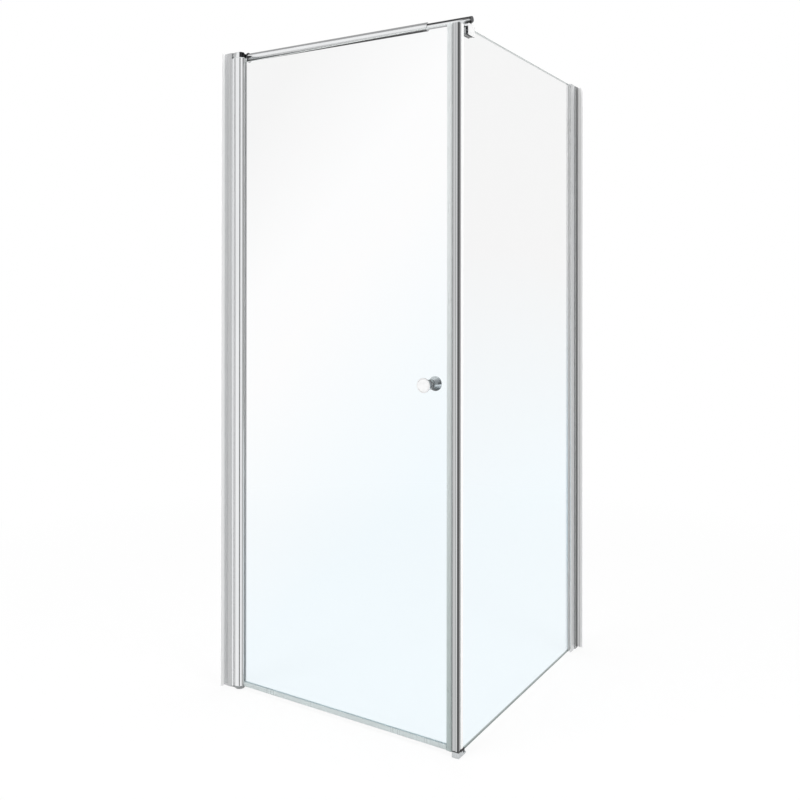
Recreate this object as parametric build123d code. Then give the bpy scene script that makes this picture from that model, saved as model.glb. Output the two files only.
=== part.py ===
"""Corner shower enclosure: a pivot door on a round hinge column, a fixed side panel,
two wall channels and a telescopic stabiliser bar from the hinge bracket to a glass clamp.

Millimetres, +Z up. The door faces -Y, the left wall is at -X and the rear wall at +Y.
The origin is the middle of the corner foot's underside, where the corner stands on the tray.
"""
import os
from math import sqrt

from build123d import *

os.makedirs("parts", exist_ok=True)

# Enclosure
enclosure_width = 780.0       # left wall to the outer face of the corner post
enclosure_depth = 820.0       # front face of the corner post to the rear wall
panel_height = 1820.0         # top edge of both glass panes
glass_thickness = 6.0
overrun = 1.0                 # how far a cutting shape passes the face that it opens
screw_clearance = 0.1         # between a screw and a hole that it passes
seat_gap = 0.3                # between faces that slide past each other
port_screw_radius = 1.8       # screws that cut their thread in a profile's screw port
port_screw_head_radius = 3.2
port_screw_head = 2.0
port_screw_grip = 16.0

# Corner post and foot
post_width = 20.0
post_depth = 24.0
post_wall = 1.8
post_edge_radius = 2.2
post_port_radius = 3.15
post_flute_depth = 0.8
post_front_flute_radius = 14.0
post_front_flute_place = -2.6
post_side_flute_radius = 30.0
post_side_flute_place = -1.5
post_groove_radius = 1.3
post_groove_place = 6.2
post_top_drop = 2.0           # cap's top face below the glass edge
post_cap_thickness = 2.0
cap_peg_length = 12.0
foot_height = 15.0
foot_edge_radius = 2.0
foot_tail_length = 16.0       # low part of the foot that runs on under the side glass
foot_tail_height = 3.0
setting_block_width = 14.0
setting_block_length = 12.5
setting_block_height = 10.0
setting_block_room = 0.5

# Glass
side_glass_bottom = 5.0
door_glass_bottom = 13.0
gasket_wall = 1.5
glass_edge_chamfer = 0.6

# Wall channels and the profiles that slide in them
channel_wall = 2.0
channel_leg = 28.0
channel_edge_radius = 0.9
flange_reach = 15.0
jamb_wall = 1.6
jamb_back_gap = 10.5          # wall to the back of the sliding profile
jamb_port_radius = 3.4
jamb_port_places = (19.5, 27.5)
rear_jamb_reach = 60.0        # wall to the mouth of the rear profile
glass_pocket_depth = 22.0
rear_cap_thickness = 1.5
adjust_travel = 7.5           # each way, from the place that the enclosure is fitted at
wall_hole_radius = 2.75
wall_hole_shares = (0.08, 0.36, 0.64, 0.92)
adjust_screw_shares = (0.12, 0.5, 0.88)
adjust_screw_place = 15.0     # wall to the screw's axis
adjust_screw_radius = 2.1
adjust_screw_reach = 1.2      # end of the screw past the profile's wall
adjust_head_radius = 3.8
adjust_head_height = 2.2
screw_cap_wall = 0.8
screw_cap_room = 0.3

# Hinge column
hinge_offset = 52.0           # left wall to the hinge axis
column_radius = 18.8
column_wall = 1.8
column_gap = 1.0              # between the column and the hollow in the profile beside it
column_pocket_floor = 9.0     # hinge axis to the floor of the glass pocket
column_gasket_depth = 9.0
column_bottom = 11.5
column_top_room = 3.0         # top of the column to the bracket
plug_flange = 1.5
plug_length = 20.0
plug_room = 0.2
bush_radius = 5.6
bush_length = 18.0
bush_flange_radius = 9.0
bush_flange = 1.1
pin_radius = 4.0
pin_reach = 15.0              # length of each pin past the end of the column
running_clearance = 0.05

# Hinge bracket over the column and the foot below it
bracket_thickness = 16.0
bracket_above_bar = 8.5       # bar's axis to the top of the bracket
bracket_nose_radius = 11.0
bracket_edge_radius = 1.2
bracket_pin_depth = 11.0
bracket_arm_thickness = 19.0
hinge_foot_height = 8.8
hinge_foot_low_radius = 13.0
hinge_foot_tongue = 3.0

# Stabiliser bar
bar_left_setback = 29.0       # bar's axis behind the door, level with the hinge axis
bar_right_setback = 57.5      # and where it crosses the side glass
sleeve_radius = 11.5
sleeve_wall = 1.5
sleeve_start = 8.0            # along the bar, from level with the hinge axis
sleeve_end_from_glass = 121.0
rosette_radius = 14.0
rosette_thickness = 3.0
rosette_spigot = 16.0
rosette_screw_radius = 3.0
rosette_screw_grip = 12.0
rosette_screw_head_radius = 5.2
rosette_screw_head = 3.0
collar_length = 5.0
collar_spigot = 14.0
collar_chamfer = 2.0
rod_radius = 8.0
rod_wall = 1.5
rod_clearance = 0.1
rod_insert = 190.0            # length of rod inside the sleeve
rod_past_glass = 8.0
rod_cap_thickness = 2.0
rod_plug_spigot = 10.0
guide_length = 12.0
lock_screw_radius = 2.0
lock_screw_room = 0.3

# Glass clamp and the clip on it that carries the rod
clamp_width = 37.0
clamp_drop = 21.0             # below the glass edge
clamp_bridge = 8.5            # above it
clamp_bridge_gap = 0.5
clamp_outer_jaw = 3.5
clamp_inner_jaw = 4.0
clamp_pad = 1.0
clamp_plate = 3.0
clamp_plate_gap = 1.5
clamp_inset = 1.5
clamp_corner_radius = 4.0
clamp_screw_radius = 2.5
clamp_screw_spread = 9.0
clamp_screw_drop = 9.0
clip_wall = 1.6
clip_inner_reach = 16.0       # from the side glass toward the hinge
clip_outer_reach = 6.8
clip_lip_rise = 2.5           # how far the clip's lips rise past the rod's middle
clip_neck_length = 3.3
clip_neck_radius = 3.2
clip_neck_place = 3.4
clip_thread_radius = 2.0
clip_thread_length = 6.0

# Seals
door_gap = 20.0               # middle of the corner post to the edge of the door glass
seal_width = 10.0
seal_wall = 1.2
seal_leg = 9.0
seal_head = 5.5
closing_seal_bottom = 8.0
magnet_width = 7.0
magnet_thickness = 2.6
strip_thickness = 4.0
strip_tongue = 1.4
strip_tongue_width = 3.0
drip_top = 22.0
drip_body_bottom = 10.0
drip_bottom = 7.0
drip_lip = 1.6
drip_end_gap = 1.0

# Knobs
knob_face_radius = 19.0
knob_neck_radius = 12.5
knob_neck_length = 4.0
knob_length = 28.0
knob_rim = 1.2
knob_dish_rim = 2.4
knob_dish_depth = 0.8
knob_height = 917.0
knob_from_post = 81.0         # middle of the corner post to the knob's axis
knob_washer = 1.0
knob_hole_radius = 5.0
knob_stud_radius = 3.0
knob_stud_grip = 12.0

# Places worked out from the sizes above
wall_x = post_width / 2 - enclosure_width
wall_y = enclosure_depth - post_depth / 2
hinge_x = wall_x + hinge_offset
half_glass = glass_thickness / 2
half_pocket = half_glass + gasket_wall
channel_half = post_depth / 2
jamb_half = channel_half - channel_wall - seat_gap
clamp_top = panel_height + clamp_bridge
bar_height = clamp_top + clip_neck_length + clip_wall + rod_clearance + rod_radius
hinge_side_height = bar_height + bracket_above_bar
bracket_bottom = hinge_side_height - bracket_thickness
column_top = bracket_bottom - column_top_room
post_top = panel_height - post_top_drop - post_cap_thickness
post_back = post_depth / 2
post_front = -post_depth / 2
port_front = post_front + post_wall + post_flute_depth
port_back = -gasket_wall - post_wall
port_y = (port_front + port_back) / 2
door_left = hinge_x + column_pocket_floor + gasket_wall
door_right = -door_gap
pocket_floor = rear_jamb_reach - glass_pocket_depth
side_back = wall_y - pocket_floor - gasket_wall
clamp_pad_face = half_glass + clamp_pad
clamp_plate_face = clamp_pad_face + clamp_plate
bar_run = Vector(-hinge_x, bar_right_setback - bar_left_setback, 0)
upward = (Align.CENTER, Align.CENTER, Align.MIN)


def block(x0, x1, y0, y1, z0, z1):
    """Box between two opposite corners."""
    middle = Pos((x0 + x1) / 2, (y0 + y1) / 2, (z0 + z1) / 2)
    return middle * Box(abs(x1 - x0), abs(y1 - y0), abs(z1 - z0))


def rect(x0, x1, y0, y1):
    """Rectangle in plan between two opposite corners."""
    return Pos((x0 + x1) / 2, (y0 + y1) / 2) * Rectangle(abs(x1 - x0), abs(y1 - y0))


def disc(x, y, radius):
    """Circle in plan."""
    return Pos(x, y) * Circle(radius)


def rise(section, z0, z1):
    """Upright extrusion of a plan section."""
    return extrude(Pos(0, 0, z0) * section, amount=z1 - z0)


def pin(start, end, radius):
    """Round bar between two points."""
    way = Vector(*end) - Vector(*start)
    return Plane(origin=start, z_dir=way) * Cylinder(radius, way.length, align=upward)


def upright(x, y, z0, z1, radius):
    """Round bar along Z."""
    return pin((x, y, z0), (x, y, z1), radius)


def round_near(section, spots, radius):
    """Rounds the section's corners that lie nearest to the given places."""
    corners = [min(section.vertices(), key=lambda v: (v.X - x) ** 2 + (v.Y - y) ** 2) for x, y in spots]
    return fillet(corners, radius)


def save(name, shape):
    """Writes one named piece."""
    export_step(shape, f"parts/{name}.step")


def at_left(s, t):
    """Plan place s from the left wall and t across it; the outside is at negative t."""
    return wall_x + s, t


def at_rear(s, t):
    """The same place at the rear wall, where the outside is at +X."""
    return -t, wall_y - s


def patch(place, s0, s1, t0, t1):
    """Rectangle in plan, given from a wall."""
    (x0, y0), (x1, y1) = place(s0, t0), place(s1, t1)
    return rect(x0, x1, y0, y1)


def cross_pin(place, s, t0, t1, z, radius):
    """Round bar across a wall profile."""
    return pin((*place(s, t0), z), (*place(s, t1), z), radius)


def wall_channel(place, height):
    """Wall channel: web with an outward flange, two legs, wall holes and adjusting slots."""
    section = patch(place, 0, channel_wall, -channel_half - flange_reach, channel_half)
    section += patch(place, 0, channel_leg, -channel_half, channel_wall - channel_half)
    section += patch(place, 0, channel_leg, channel_half - channel_wall, channel_half)
    spots = [place(channel_leg, -channel_half), place(channel_leg, channel_half)]
    spots.append(place(channel_wall, -channel_half - flange_reach))
    shape = rise(round_near(section, spots, channel_edge_radius), 0, height)
    for share in wall_hole_shares:
        z = share * panel_height
        shape -= pin((*place(-overrun, 0), z), (*place(channel_wall + overrun, 0), z), wall_hole_radius)
    low, high = channel_half - channel_wall - overrun, channel_half + overrun
    first, last = adjust_screw_place - adjust_travel, adjust_screw_place + adjust_travel
    slot_radius = adjust_screw_radius + screw_clearance
    for share in adjust_screw_shares:
        z = share * panel_height
        shape -= cross_pin(place, first, low, high, z, slot_radius)
        shape -= cross_pin(place, last, low, high, z, slot_radius)
        shape -= rise(patch(place, first, last, low, high), z - slot_radius, z + slot_radius)
    return shape


def sliding_section(place, reach, hollow_end, cut):
    """Box profile with webs and screw ports; the section in cut shapes its outer end."""
    inner = jamb_half - jamb_wall
    section = patch(place, jamb_back_gap, reach, -jamb_half, jamb_half) - cut
    section -= patch(place, jamb_back_gap + jamb_wall, hollow_end, -inner, inner)
    for s in jamb_port_places:
        section += patch(place, s - jamb_wall / 2, s + jamb_wall / 2, -jamb_half, jamb_half)
        section += disc(*place(s, 0), jamb_port_radius)
    for s in jamb_port_places:
        section -= disc(*place(s, 0), port_screw_radius)
    return section


def drilled_for_adjusting(shape, place):
    """Sliding profile with the threaded holes for its adjusting screws."""
    for share in adjust_screw_shares:
        shape -= cross_pin(place, adjust_screw_place, jamb_half - jamb_wall - overrun,
                           jamb_half + overrun, share * panel_height, adjust_screw_radius)
    return shape


def left_jamb():
    """Profile in the left channel; its outer end is hollowed to follow the hinge column."""
    hollow_radius = column_radius + column_gap
    reach = hinge_offset - sqrt(hollow_radius ** 2 - jamb_half ** 2)
    hollow = disc(hinge_x, 0, hollow_radius)
    section = sliding_section(at_left, reach, hinge_offset - hollow_radius - jamb_wall, hollow)
    return drilled_for_adjusting(rise(section, hinge_foot_tongue, bracket_bottom), at_left)


def rear_jamb():
    """Profile in the rear channel, with the pocket that holds the side glass."""
    pocket = patch(at_rear, pocket_floor, rear_jamb_reach + overrun, -half_pocket, half_pocket)
    section = sliding_section(at_rear, rear_jamb_reach, pocket_floor - jamb_wall, pocket)
    spots = [at_rear(rear_jamb_reach, -jamb_half), at_rear(rear_jamb_reach, jamb_half)]
    section = round_near(section, spots, channel_edge_radius)
    return drilled_for_adjusting(rise(section, 0, panel_height), at_rear)


def rear_cap():
    """Plate over the top of the rear profile, with pegs in its screw ports."""
    plate = patch(at_rear, jamb_back_gap, rear_jamb_reach, -jamb_half, jamb_half)
    spots = [at_rear(rear_jamb_reach, -jamb_half), at_rear(rear_jamb_reach, jamb_half)]
    top = panel_height + rear_cap_thickness
    cap = rise(round_near(plate, spots, channel_edge_radius), panel_height, top)
    for s in jamb_port_places:
        cap += upright(*at_rear(s, 0), panel_height - cap_peg_length, top, port_screw_radius)
    return cap


def adjust_screws(place):
    """Screws that clamp the wall channel's inner leg to the sliding profile."""
    seat = channel_half + seat_gap
    tip = jamb_half - jamb_wall - adjust_screw_reach
    shapes = []
    for share in adjust_screw_shares:
        z = share * panel_height
        screw = cross_pin(place, adjust_screw_place, tip, seat + adjust_head_height, z, adjust_screw_radius)
        screw += cross_pin(place, adjust_screw_place, seat, seat + adjust_head_height, z, adjust_head_radius)
        shapes.append(screw)
    return Compound(shapes)


def screw_caps(place):
    """Round plastic caps pressed over the heads of the adjusting screws."""
    seat = channel_half + seat_gap
    ceiling = seat + adjust_head_height + screw_cap_room
    shapes = []
    for share in adjust_screw_shares:
        z = share * panel_height
        cap = cross_pin(place, adjust_screw_place, seat, ceiling + screw_cap_wall, z,
                        adjust_head_radius + screw_cap_wall)
        cap -= cross_pin(place, adjust_screw_place, seat - overrun, ceiling, z, adjust_head_radius)
        shapes.append(cap)
    return Compound(shapes)


def port_screw(x, y, seat, mouth, way):
    """Screw along Z from its seat into a screw port whose mouth is given; way is 1 or -1."""
    shank = upright(x, y, seat, mouth + way * port_screw_grip, port_screw_radius)
    return shank + upright(x, y, seat - way * port_screw_head, seat, port_screw_head_radius)


def port_screw_holes(x, y, open_end, seat, far):
    """Clearance hole and head pocket of a screw into a port."""
    hole = upright(x, y, open_end, far, port_screw_radius + screw_clearance)
    return hole + upright(x, y, open_end, seat, port_screw_head_radius + screw_clearance)


def post_outline():
    """Corner post's outline: fluted faces, glass pocket and the groove for the magnet strip."""
    half_width = post_width / 2
    section = rect(-half_width, half_width, post_front, post_back)
    spots = [(-half_width, post_front), (half_width, post_front), (half_width, post_back)]
    section = round_near(section, spots, post_edge_radius)
    section -= rect(-half_pocket, half_pocket, -gasket_wall, post_back + overrun)
    front_centre = post_front + post_flute_depth - post_front_flute_radius
    section -= disc(post_front_flute_place, front_centre, post_front_flute_radius)
    side_centre = half_width - post_flute_depth + post_side_flute_radius
    section -= disc(side_centre, post_side_flute_place, post_side_flute_radius)
    section -= disc(post_groove_place, post_front - post_groove_radius / 3, post_groove_radius)
    groove = strip_tongue_width / 2
    return section - rect(-half_width - overrun, strip_tongue - half_width, -groove, groove)


def post_section():
    """The outline with its front chamber and screw port."""
    side = post_width / 2 - post_wall
    section = post_outline() - rect(-side, side - post_flute_depth, port_front, port_back)
    section += disc(0, port_y, post_port_radius)
    return section - disc(0, port_y, port_screw_radius)


def post_cap():
    """Thin cap with the post's outline and a peg in its screw port."""
    cap = rise(post_outline(), post_top, post_top + post_cap_thickness)
    return cap + upright(0, port_y, post_top - cap_peg_length, post_top + post_cap_thickness, port_screw_radius)


def corner_foot():
    """Plastic foot under the post, slotted for the side glass, with a low tail under it."""
    half_width = post_width / 2
    tail_end = post_back + foot_tail_length
    plan = rect(-half_width, half_width, post_front, tail_end)
    spots = [(-half_width, post_front), (half_width, post_front), (-half_width, tail_end), (half_width, tail_end)]
    foot = rise(round_near(plan, spots, foot_edge_radius), 0, foot_height)
    high = foot_height + overrun
    foot -= block(-post_width, post_width, post_back, tail_end + overrun, foot_tail_height, high)
    foot -= block(-half_pocket, half_pocket, -gasket_wall, tail_end, side_glass_bottom, high)
    return foot - port_screw_holes(0, port_y, -overrun, foot_height / 2, high)


def setting_block():
    """Rubber block on the foot's tail that the side glass stands in."""
    half_width = setting_block_width / 2
    front = post_back + setting_block_room
    back = front + setting_block_length
    shape = block(-half_width, half_width, front, back, foot_tail_height, foot_tail_height + setting_block_height)
    high = foot_tail_height + setting_block_height + overrun
    return shape - block(-half_glass, half_glass, front - overrun, back + overrun, side_glass_bottom, high)


def pane(x0, x1, y0, y1, z0, z1):
    """Glass pane with its top edges ground."""
    shape = block(x0, x1, y0, y1, z0, z1)
    return chamfer(shape.edges().group_by(Axis.Z)[-1], glass_edge_chamfer)


def door_glass():
    """Door pane with the hole for the knobs."""
    glass = pane(door_left, door_right, -half_glass, half_glass, door_glass_bottom, panel_height)
    x, z, far = -knob_from_post, knob_height, half_glass + overrun
    return glass - pin((x, -far, z), (x, far, z), knob_hole_radius)


def column_outline():
    """Round outline of the hinge column with its glass pocket."""
    pocket = rect(hinge_x + column_pocket_floor, hinge_x + column_radius + overrun, -half_pocket, half_pocket)
    return disc(hinge_x, 0, column_radius) - pocket


def hinge_column():
    """Hollow round column that turns with the door."""
    pocket_wall = hinge_x + column_pocket_floor - column_wall
    lip = half_pocket + column_wall
    core = disc(hinge_x, 0, column_radius - column_wall)
    core -= rect(pocket_wall, hinge_x + column_radius, -lip, lip)
    return rise(column_outline() - core, column_bottom, column_top)


def column_plug(seat, way):
    """Plug in one end of the column: a flange with its outline and a spigot in its core."""
    spigot = disc(hinge_x, 0, column_radius - column_wall - plug_room)
    limit = hinge_x + column_pocket_floor - column_wall - plug_room
    spigot -= rect(limit, hinge_x + column_radius, -column_radius, column_radius)
    plug = rise(column_outline(), seat, seat - way * plug_flange)
    plug += rise(spigot, seat, seat + way * plug_length)
    bore_start = seat - way * (plug_flange + overrun)
    return plug - upright(hinge_x, 0, bore_start, seat + way * (plug_length + overrun), bush_radius)


def pivot_bush(seat, way):
    """Flanged plain bearing pressed into a column plug; the flange lies outside it."""
    outside = seat - way * bush_flange
    bush = upright(hinge_x, 0, seat, seat + way * bush_length, bush_radius)
    bush += upright(hinge_x, 0, outside, seat, bush_flange_radius)
    bore_end = seat + way * (bush_length + overrun)
    return bush - upright(hinge_x, 0, outside - way * overrun, bore_end, pin_radius + running_clearance)


def bar_at(x):
    """Distance along the bar, from level with the hinge axis, of the place with this x."""
    return bar_run.length * (x - hinge_x) / -hinge_x


def bar_plane(along):
    """Plane square to the bar's axis: local X points to the rear wall and local Y up."""
    origin = Vector(hinge_x, bar_left_setback, bar_height) + bar_run.normalized() * along
    return Plane(origin=origin, x_dir=(-bar_run.Y, bar_run.X, 0), z_dir=bar_run)


def bar_round(start, end, radius):
    """Round piece along the bar's axis."""
    return bar_plane(start) * Cylinder(radius, end - start, align=upward)


def bracket_body():
    """Tongue over the profile, rounded nose over the column and the arm toward the bar."""
    tongue = patch(at_left, jamb_back_gap, hinge_offset, -jamb_half, jamb_half)
    nose_start = channel_leg + adjust_travel + column_gap
    nose = patch(at_left, nose_start, hinge_offset, -bracket_nose_radius, bracket_nose_radius)
    shape = rise(tongue + nose + disc(hinge_x, 0, bracket_nose_radius), bracket_bottom, hinge_side_height)
    shape = fillet(shape.edges().group_by(Axis.Z)[-1], bracket_edge_radius)
    low, high = bracket_bottom - bar_height, hinge_side_height - bar_height - bracket_edge_radius
    arm = block(-bar_left_setback, 0, low, high, -bracket_arm_thickness, 0)
    arm += Cylinder(bracket_nose_radius, bracket_arm_thickness, align=(Align.CENTER, Align.CENTER, Align.MAX))
    return shape + bar_plane(sleeve_start - rosette_thickness) * arm


def top_bracket():
    """Hinge bracket drilled for its pivot pin, its two screws and the bar's screw."""
    shape = bracket_body()
    shape -= upright(hinge_x, 0, bracket_bottom - overrun, bracket_bottom + bracket_pin_depth, pin_radius)
    seat = hinge_side_height - port_screw_head - seat_gap
    for s in jamb_port_places:
        x, y = at_left(s, 0)
        shape -= port_screw_holes(x, y, hinge_side_height + overrun, seat, bracket_bottom - overrun)
    end = sleeve_start - rosette_thickness
    start = end - bracket_arm_thickness
    return shape - bar_round(start - overrun, end + overrun, rosette_screw_radius + screw_clearance)


def bracket_screws():
    """Two screws from the bracket down into the profile's ports."""
    seat = hinge_side_height - port_screw_head - seat_gap
    return Compound([port_screw(*at_left(s, 0), seat, bracket_bottom, -1) for s in jamb_port_places])


def hinge_foot():
    """Tapered cup under the column, with a thin tongue under the profile beside it."""
    cup = Cone(hinge_foot_low_radius, column_radius - plug_room, hinge_foot_height, align=upward)
    tongue = patch(at_left, jamb_back_gap, hinge_offset, -jamb_half, jamb_half)
    foot = Pos(hinge_x, 0, 0) * cup + rise(tongue, 0, hinge_foot_tongue)
    foot -= upright(hinge_x, 0, hinge_foot_tongue, hinge_foot_height + overrun, pin_radius)
    for s in jamb_port_places:
        foot -= port_screw_holes(*at_left(s, 0), -overrun, port_screw_head, hinge_foot_tongue + overrun)
    return foot


def closing_seal_section():
    """Seal on the door's free edge: two legs on the glass and a head for the magnet."""
    head_end = door_right + seal_head
    section = rect(door_right, head_end, -seal_width / 2, seal_width / 2)
    for side in (-1, 1):
        section += rect(door_right - seal_leg, door_right, side * half_glass, side * (half_glass + seal_wall))
    return section


def magnet_section(x):
    """Flat magnet in a seal, centred at x."""
    return rect(x - magnet_thickness / 2, x + magnet_thickness / 2, -magnet_width / 2, magnet_width / 2)


def post_strip_section():
    """Strip on the post that meets the door's seal, with a tongue in the post's groove."""
    face = -post_width / 2
    section = rect(face - strip_thickness, face, -seal_width / 2, seal_width / 2)
    return section + rect(face, face + strip_tongue, -strip_tongue_width / 2, strip_tongue_width / 2)


def drip_seal():
    """Bottom seal on the door glass: a U over the edge and a slanting drip lip."""
    start = hinge_x + column_radius + drip_end_gap
    end = door_right - seal_leg - drip_end_gap
    outer = half_glass + seal_wall
    tip = outer + drip_lip
    outline = Polyline(
        (-outer, drip_top), (-half_glass, drip_top), (-half_glass, door_glass_bottom),
        (half_glass, door_glass_bottom), (half_glass, drip_top), (outer, drip_top),
        (outer, drip_body_bottom), (tip + drip_lip, drip_bottom), (tip - drip_lip, drip_bottom),
        (outer - 2 * drip_lip, drip_body_bottom), (-outer, drip_body_bottom), close=True)
    return extrude(Plane.YZ.offset(start) * make_face(outline), amount=end - start)


def knob(side):
    """Turned knob: a neck on the glass that widens in a cone to a dished round face."""
    start = half_glass + knob_washer
    end = start + knob_length
    face, dish = knob_face_radius, knob_face_radius - knob_dish_rim
    outline = Polyline(
        (0, start), (knob_neck_radius, start), (knob_neck_radius, start + knob_neck_length),
        (face, end - 2 * knob_rim), (face, end - knob_rim / 2), (face - knob_rim / 2, end),
        (dish, end), (dish - knob_dish_depth, end - knob_dish_depth), (0, end - knob_dish_depth), close=True)
    body = revolve(make_face(outline), Axis.Y)
    body -= pin((0, start - overrun, 0), (0, start + knob_stud_grip, 0), knob_stud_radius)
    turned = body if side > 0 else mirror(body, Plane.XZ)
    return Pos(-knob_from_post, 0, knob_height) * turned


def knob_stud():
    """Threaded stud through the glass that joins the knobs."""
    x, z, end = -knob_from_post, knob_height, half_glass + knob_washer + knob_stud_grip
    return pin((x, -end, z), (x, end, z), knob_stud_radius)


def knob_washers():
    """Clear washers between the knobs and the glass."""
    x, z = -knob_from_post, knob_height
    outer = half_glass + knob_washer
    bore = pin((x, -outer - overrun, z), (x, outer + overrun, z), knob_stud_radius + screw_clearance)
    return Compound([pin((x, side * half_glass, z), (x, side * outer, z), knob_neck_radius) - bore
                     for side in (-1, 1)])


def clamp_screw_places():
    """Places of the two clamp screws along the glass."""
    return (bar_right_setback - clamp_screw_spread, bar_right_setback + clamp_screw_spread)


def clamp_body():
    """U-shaped clamp over the side glass, bored for its screws and the clip's thread."""
    near, far = bar_right_setback - clamp_width / 2, bar_right_setback + clamp_width / 2
    low = panel_height - clamp_drop
    inner_jaw = clamp_plate_face + clamp_plate_gap
    inner_face = inner_jaw + clamp_inner_jaw
    body = block(-inner_face, clamp_pad_face + clamp_outer_jaw, near, far, low, clamp_top)
    slot_top = panel_height + clamp_bridge_gap
    body -= block(-inner_jaw, clamp_pad_face, near - overrun, far + overrun, low - overrun, slot_top)
    corners = body.edges().filter_by(Axis.X).group_by(Axis.Z)
    body = fillet(corners[-1] + corners[0], clamp_corner_radius)
    z = panel_height - clamp_screw_drop
    for y in clamp_screw_places():
        body -= pin((-inner_face - overrun, y, z), (overrun - inner_jaw, y, z), clamp_screw_radius)
    return body - upright(clip_neck_place, bar_right_setback, clamp_top - clip_thread_length,
                          clamp_top + overrun, clip_thread_radius)


def clamp_sheet(x0, x1):
    """Pad or pressure plate inside the clamp."""
    near, far = bar_right_setback - clamp_width / 2, bar_right_setback + clamp_width / 2
    low, high = panel_height - clamp_drop + clamp_inset, panel_height - clamp_inset
    return block(x0, x1, near + clamp_inset, far - clamp_inset, low, high)


def clamp_screws():
    """Two screws through the inner jaw that press the plate on the glass."""
    z = panel_height - clamp_screw_drop
    outside = -clamp_plate_face - clamp_plate_gap - clamp_inner_jaw
    return Compound([pin((outside, y, z), (-clamp_plate_face, y, z), clamp_screw_radius)
                     for y in clamp_screw_places()])


def rod_clip():
    """Open clip that hugs the rod from below, on a neck with a thread in the clamp."""
    inner = rod_radius + rod_clearance
    start, end = bar_at(-clip_inner_reach), bar_at(clip_outer_reach)
    clip = bar_round(start, end, inner + clip_wall)
    clip += upright(clip_neck_place, bar_right_setback, clamp_top, bar_height - inner, clip_neck_radius)
    clip -= bar_round(start - overrun, end + overrun, inner)
    lips = bar_height + clip_lip_rise
    clip -= block(-2 * clip_inner_reach, 2 * clip_outer_reach, bar_right_setback - 2 * sleeve_radius,
                  bar_right_setback + 2 * sleeve_radius, lips, lips + sleeve_radius)
    return clip + upright(clip_neck_place, bar_right_setback, clamp_top - clip_thread_length,
                          clamp_top, clip_thread_radius)


def bar_sleeve_pieces(sleeve_end):
    """Rosette, its screw, the sleeve, its end collar and the lock screw."""
    bore = sleeve_radius - sleeve_wall
    running = rod_radius + rod_clearance
    back = sleeve_start - rosette_thickness
    rosette = bar_round(back, sleeve_start, rosette_radius)
    rosette = chamfer(rosette.edges().group_by(Axis.X)[-1], rosette_thickness / 3)
    rosette += bar_round(back, sleeve_start + rosette_spigot, bore)
    thread_end = back + rosette_screw_grip
    rosette -= bar_round(back - overrun, thread_end, rosette_screw_radius)
    save("bar_rosette", rosette)
    seat = back - bracket_arm_thickness
    screw = bar_round(seat, thread_end, rosette_screw_radius)
    save("rosette_screw", screw + bar_round(seat - rosette_screw_head, seat, rosette_screw_head_radius))
    down = bar_plane(sleeve_end - collar_spigot / 2) * Rot(90, 0, 0)
    lock_start = running + lock_screw_room
    lock = Pos(0, 0, lock_start) * Cylinder(lock_screw_radius, sleeve_radius - lock_start, align=upward)
    lock_hole = down * Cylinder(lock_screw_radius, 2 * sleeve_radius, align=upward)
    sleeve = bar_round(sleeve_start, sleeve_end, sleeve_radius)
    sleeve -= bar_round(sleeve_start - overrun, sleeve_end + overrun, bore)
    save("bar_sleeve", sleeve - lock_hole)
    collar = bar_round(sleeve_end, sleeve_end + collar_length, sleeve_radius)
    collar = chamfer(collar.edges().group_by(Axis.X)[-1], collar_chamfer)
    collar += bar_round(sleeve_end - collar_spigot, sleeve_end, bore)
    collar -= bar_round(sleeve_end - collar_spigot - overrun, sleeve_end + collar_length + overrun, running)
    save("sleeve_end_collar", collar - lock_hole)
    save("bar_lock_screw", down * lock)


def bar_rod_pieces(sleeve_end):
    """Sliding rod with its guide plug and end cap."""
    rod_bore = rod_radius - rod_wall
    start, end = sleeve_end - rod_insert, bar_at(rod_past_glass)
    save("bar_rod", bar_round(start, end, rod_radius) - bar_round(start - overrun, end + overrun, rod_bore))
    guide = bar_round(start - guide_length, start, sleeve_radius - sleeve_wall - rod_clearance)
    save("rod_guide_plug", guide + bar_round(start, start + rod_plug_spigot, rod_bore))
    cap = bar_round(end, end + rod_cap_thickness, rod_radius)
    cap = chamfer(cap.edges().group_by(Axis.X)[-1], rod_cap_thickness / 4)
    save("rod_end_cap", cap + bar_round(end - rod_plug_spigot, end, rod_bore))


# Left side: channel, profile and hinge
save("left_wall_channel", wall_channel(at_left, hinge_side_height))
save("left_jamb_profile", left_jamb())
save("left_adjust_screws", adjust_screws(at_left))
save("left_screw_caps", screw_caps(at_left))
save("top_bearing_block", top_bracket())
save("top_bearing_screws", bracket_screws())
save("door_hinge_column", hinge_column())
save("column_top_plug", column_plug(column_top, -1))
save("column_bottom_plug", column_plug(column_bottom, 1))
save("top_pivot_bush", pivot_bush(column_top + plug_flange, -1))
save("bottom_pivot_bush", pivot_bush(column_bottom - plug_flange, 1))
save("top_pivot_pin", upright(hinge_x, 0, column_top - pin_reach, bracket_bottom + bracket_pin_depth, pin_radius))
save("bottom_pivot_pin", upright(hinge_x, 0, hinge_foot_tongue, column_bottom + pin_reach, pin_radius))
save("bottom_bearing_foot", hinge_foot())
save("bottom_bearing_screws", Compound(
    [port_screw(*at_left(s, 0), port_screw_head, hinge_foot_tongue, 1) for s in jamb_port_places]))

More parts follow.
